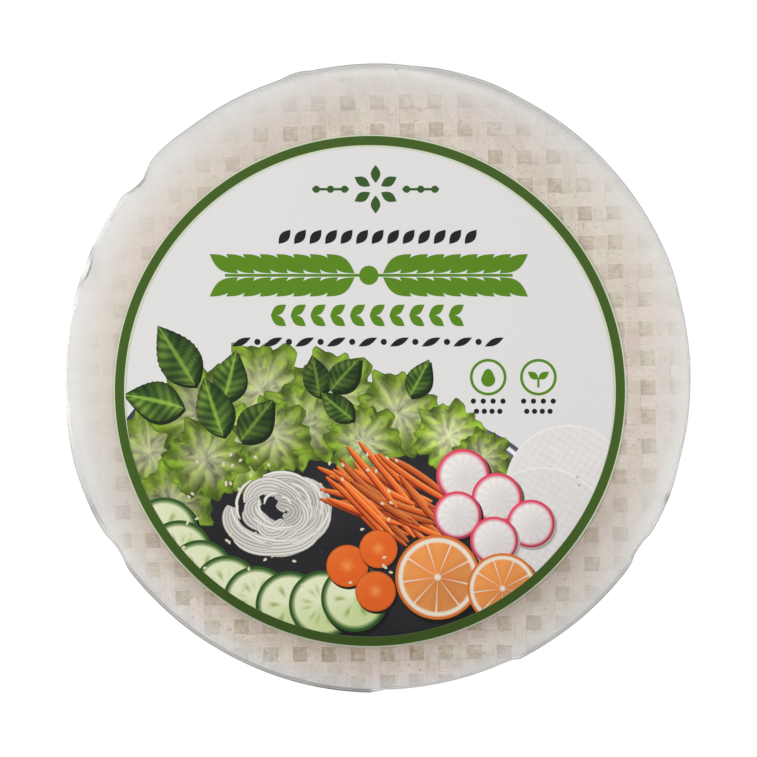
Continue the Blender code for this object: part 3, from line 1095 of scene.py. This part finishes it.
def drawRounds(press, dice):
    def dropped(x, y, radius, paint, shade="shadow", **fine):  # a disc over its own shadow
        press.dot(x + radius * 0.07, y - radius * 0.09, radius * 1.02, inks[shade], points=48)
        press.disc(x, y, radius, paint, **fine)

    def cucumber(x, y, radius, phase):
        def paint(share, turn):
            if share > 0.93:
                return inks["cucumber"]
            if share > 0.86:
                return blend(inks["cucumberFlesh"], inks["cucumber"], 0.45)
            seeds = max(0.0, math.cos(9 * turn + phase) * math.cos(3 * turn + phase))
            core = max(0.0, 1 - abs(share - 0.45) / 0.22)
            flesh = blend(inks["cucumberFlesh"], (238, 242, 206), 0.5 + 0.5 * math.cos(turn - 2.2))
            return blend(flesh, (150, 170, 86), core * seeds)
        dropped(x, y, radius, paint, rings=15, points=54)

    def radish(x, y, radius, shade):
        def paint(share, turn):
            if share > 0.92:
                return lit(inks["radish"], 1 + 0.15 * math.cos(turn - 2.2))
            if share > 0.84:
                return blend(inks["flesh"], inks["radish"], 0.35)
            ray = 0.5 + 0.5 * math.cos(turn * 14)
            return lit(inks["flesh"], 0.93 + 0.07 * ray * share - 0.07 * math.cos(turn + 0.8) * share)
        dropped(x, y, radius, paint, shade, rings=13, points=48)

    def carrotCoin(x, y, radius):
        def paint(share, turn):
            star = 0.5 + 0.5 * math.cos(turn * 7)
            core = max(0.0, 1 - share / (0.36 + 0.1 * star))
            colour = blend(inks["carrot"], inks["carrotLight"], 0.9 * core + 0.25 * math.cos(turn - 2.2) * share)
            return lit(colour, 0.76 if share > 0.93 else 1)
        dropped(x, y, radius, paint, rings=12, points=40)

    def citrus(x, y, radius, phase):   # a slice with its segments
        def paint(share, turn):
            if share > 0.93:
                return inks["peel"]
            wall = abs(math.sin((turn + phase) * 4.5))
            if share > 0.84 or share < 0.07 or wall < 0.10:
                return inks["pith"]
            grain = 0.5 + 0.5 * math.sin(turn * 60 + share * 9)
            colour = blend(inks["orange"], inks["orangeLight"], 0.45 * wall * share + 0.35 * grain)
            return lit(colour, 1 + 0.06 * math.cos(turn - 2.2))
        dropped(x, y, radius, paint, rings=20, points=144)

    def ricePaper(x, y, radius, tone):
        def paint(share, turn):
            px, py = share * radius * math.cos(turn), share * radius * math.sin(turn)
            mat = math.sin(px * 1.7 + py * 0.4) * math.sin(py * 1.7 - px * 0.4)
            colour = lit(inks["paper"], tone + 0.03 * mat)
            return blend(colour, (252, 250, 248), 0.7) if share > 0.965 else colour
        press.dot(x + 0.5, y - 0.9, radius, (206, 202, 202), points=72)
        press.disc(x, y, radius, paint, rings=26, points=96)

    ricePaper(70, -34, 22, 1.0)
    ricePaper(61, -52, 25, 0.985)
    for step in range(8):       # a fan of cucumber
        turn = math.radians(200 + step * 13)
        cucumber(-24 + 52 * math.cos(turn), -36 + 40 * math.sin(turn), 12, step * 1.3)
    for spot in ((33, -30, 9.5, "shadow"), (45, -38, 9, "lettuceDark"), (31, -44, 8.5, "shadow"),
                 (57, -47, 8.5, "noodleDark"), (44, -53, 8.5, "noodleDark")):
        radish(*spot)
    citrus(24, -66, 15, 0.2)
    citrus(47, -70, 12.5, 0.9)
    for spot in ((-8, -62, 7.5), (3, -56, 6.8), (2, -71, 7.2)):
        carrotCoin(*spot)
    for step in range(60):      # a scatter of sesame
        x, y = dice.uniform(-66, 10), dice.uniform(-70, -22)
        press.leaf(x, y, dice.uniform(0, 360), 1.7, 1.0, lambda share, side: inks["seed"], fine=(6, 1))
    for x, y in ((73.5, -30.6), (74.2, -33.4)):      # two specks of dirt
        press.dot(x, y, 0.3, (120, 110, 98), points=8)


def drawOrnaments(press):
    green, black = inks["title"], inks["black"]

    def grain(x, y, heading, length, width, colour):
        press.leaf(x, y, heading, length, width, lambda share, side: colour, fine=(14, 1), plump=1.0)

    def bar(x, y, width, height, colour):
        press.patch([[(x - width / 2, y + row, colour), (x + width / 2, y + row, colour)]
                     for row in (-height / 2, height / 2)])

    for i in range(6):                        # a rosette of grains at the top
        turn = 60 * i + 30
        grain(2 + 2.2 * math.cos(math.radians(turn)), 71.5 + 2.2 * math.sin(math.radians(turn)), turn, 6.4, 3.4,
              inks["deep"])
    for side in (-1, 1):
        bar(2 + side * 16, 71.5, 13, 0.9, inks["deep"])
        for i in range(3):
            press.dot(2 + side * (11 + 5 * i), 71.5, 1.3, inks["deep"])
    for i in range(13):                       # a rope of slanted grains
        grain(-32.4 + i * 5.5, 52.1, 50, 6.6, 3.4, black)
    for side in (-1, 1):                      # two ears of rice, back to back
        heading = 0 if side > 0 else 180
        for i in range(8):
            for tilt in (-1, 1):
                grain(-0.4 + side * (5 + i * 5.9), 41 + tilt * 0.7, heading + side * tilt * 34, 12.2, 5.0, green)
        bar(-0.4 + side * 26, 41, 50, 1.0, green)
    press.dot(-0.4, 41, 3.4, green, points=40)
    for i in range(10):                       # a chain of leaves
        for tilt in (-1, 1):
            grain(-35.1 + i * 7.0, 26.8, 35 * tilt, 6.6, 3.3, green)
    for i in range(17):                       # a fine row of dashes and dots
        x = -45.5 + i * 5.6
        if i % 2:
            press.dot(x, 17.4, 1.1, black)
        else:
            grain(x - 3.4, 15.8, 25, 7.4, 2.4, black)


def drawSigns(press):  # two small round marks: a drop and a sprout
    green, white = inks["title"], (232, 231, 230)
    for x in (41.9, 59.7):
        press.dot(x, 4.9, 6.5, green, points=64)
        press.dot(x, 4.9, 5.5, white, points=64)
    press.disc(41.9, 4.0, 2.5, lambda share, turn: green, 2, 48,
               rim=lambda turn: 1 + 0.55 * max(0.0, math.sin(turn)) ** 6)
    for heading in (35, 145):
        press.leaf(59.7, 4.2, heading, 4.6, 2.5, lambda share, side: green, fine=(12, 2), plump=0.9)
    press.ribbon([(59.7, 1.2), (59.7, 2.4), (59.7, 3.4), (59.7, 4.6)], 0.8, [green, green], taper=0.9)
    for x in (41.9, 59.7):
        for row, width in ((-3.6, 14), (-7.2, 11)):
            for i in range(4):
                press.dot(x + (i - 1.5) * width / 4, row, 0.95, inks["black"], points=16)


def drawRing(press):
    outer = label["radius"] / mm - 0.05
    bands = ((outer - 3.75, "ringHalo"), (outer - 3.75, "ringHalo"), (outer - 3.72, "ring"), (outer - 0.48, "ring"),
             (outer - 0.45, "ringHalo"), (outer, "ringHalo"))
    press.limit = outer + 1
    press.layers[:] = press.layers.max()
    rows = []
    for reach, name in bands:
        row = []
        for i in range(360):
            x, y = math.cos(2 * math.pi * i / 360), math.sin(2 * math.pi * i / 360)
            inner = 0 if rows else 0.01 + 0.59 * float(ease(y, -0.3, 0.05))      # none beside the picture
            row.append(((reach - inner) * x, (reach - inner) * y, lit(inks[name], 1 - 0.10 * float(ease(-y, 0.5, 0.87)))))
        rows.append(row)
    press.patch(rows, closed=True)      # darker at the foot, painted shade


def setStage():
    floorFinish = Finish("floor", {"Roughness": 0.8})
    tone = floorFinish.clouds(floorFinish.place, 6.0, 3.0)
    floorFinish.feed("Base Color", floorFinish.mixed(tone, linear(72, 72, 72), linear(66, 66, 66)))
    floorFinish.shader.inputs["Emission Color"].default_value = (1, 1, 1, 1)
    floorFinish.shader.inputs["Emission Strength"].default_value = 0.97
    shape = bmesh.new()
    bmesh.ops.create_grid(shape, x_segments=1, y_segments=1, size=3.0)
    mesh = bpy.data.meshes.new("floor")
    shape.to_mesh(mesh)
    shape.free()
    mesh.materials.append(floorFinish.material)
    floor = bpy.data.objects.new("floor", mesh)
    floor.location.z = packLow.z - 0.1 * mm
    bpy.context.scene.collection.objects.link(floor)

    world = bpy.data.worlds.new("studio")
    world.use_nodes = True
    background = world.node_tree.nodes["Background"]
    background.inputs["Color"].default_value = (0.97, 0.98, 1.0, 1)
    background.inputs["Strength"].default_value = 0.295
    bpy.context.scene.world = world

    lamps = (
        # name, place, size, watts, colour
        ("key", (-0.52, -0.02, 0.60), 0.5, 2.45, (1.0, 0.985, 0.965)),
        ("fill", (0.55, 0.015, 0.65), 0.5, 1.5, (0.98, 0.99, 1.0)),
    )
    for name, spot, size, watts, colour in lamps:
        data = bpy.data.lights.new(name, "AREA")
        data.shape = "DISK"
        data.size = size
        data.energy = watts
        data.color = colour
        lamp = bpy.data.objects.new(name, data)
        lamp.location = spot
        lamp.rotation_euler = (-Vector(spot)).to_track_quat("-Z", "Y").to_euler()
        bpy.context.scene.collection.objects.link(lamp)


    glow = bpy.data.lights.new("glow", "SPOT")     # lights all but the foot of the label more
    glow.energy = 11.6
    glow.spot_size = math.radians(20.8)
    glow.spot_blend = 0.4
    glow.shadow_soft_size = 0.05
    lamp = bpy.data.objects.new("glow", glow)
    lamp.location = (0.009, 0.087, 1.1)
    bpy.context.scene.collection.objects.link(lamp)


def setCamera():
    view = {"width": 268.3 * mm, "lens": 300.0, "sensor": 36.0}   # width of the view at the pack's top
    data = bpy.data.cameras.new("camera")
    data.lens = view["lens"]
    data.sensor_width = view["sensor"]
    camera = bpy.data.objects.new("camera", data)
    distance = view["width"] * view["lens"] / view["sensor"]
    camera.location = (0.43 * mm, -0.17 * mm, packHigh.z + distance)
    data.clip_end = 2 * distance
    bpy.context.scene.collection.objects.link(camera)
    bpy.context.scene.camera = camera


setStage()
setCamera()
wovenLook = wovenFinish()
innerPapers(plainFinish())
wovenPaper("top_paper", wovenLook, packHigh.z - stack["clear"], up=True)
wovenPaper("bottom_paper", wovenLook, packLow.z + stack["clear"], up=False,
           shift=(stack["middle"][0] + stack["lean"][0], stack["middle"][1] + stack["lean"][1]),
           turn=math.radians(7))
filmSkin(filmFinish())
labelPaper(labelFinish())
printLabel(inkFinish())
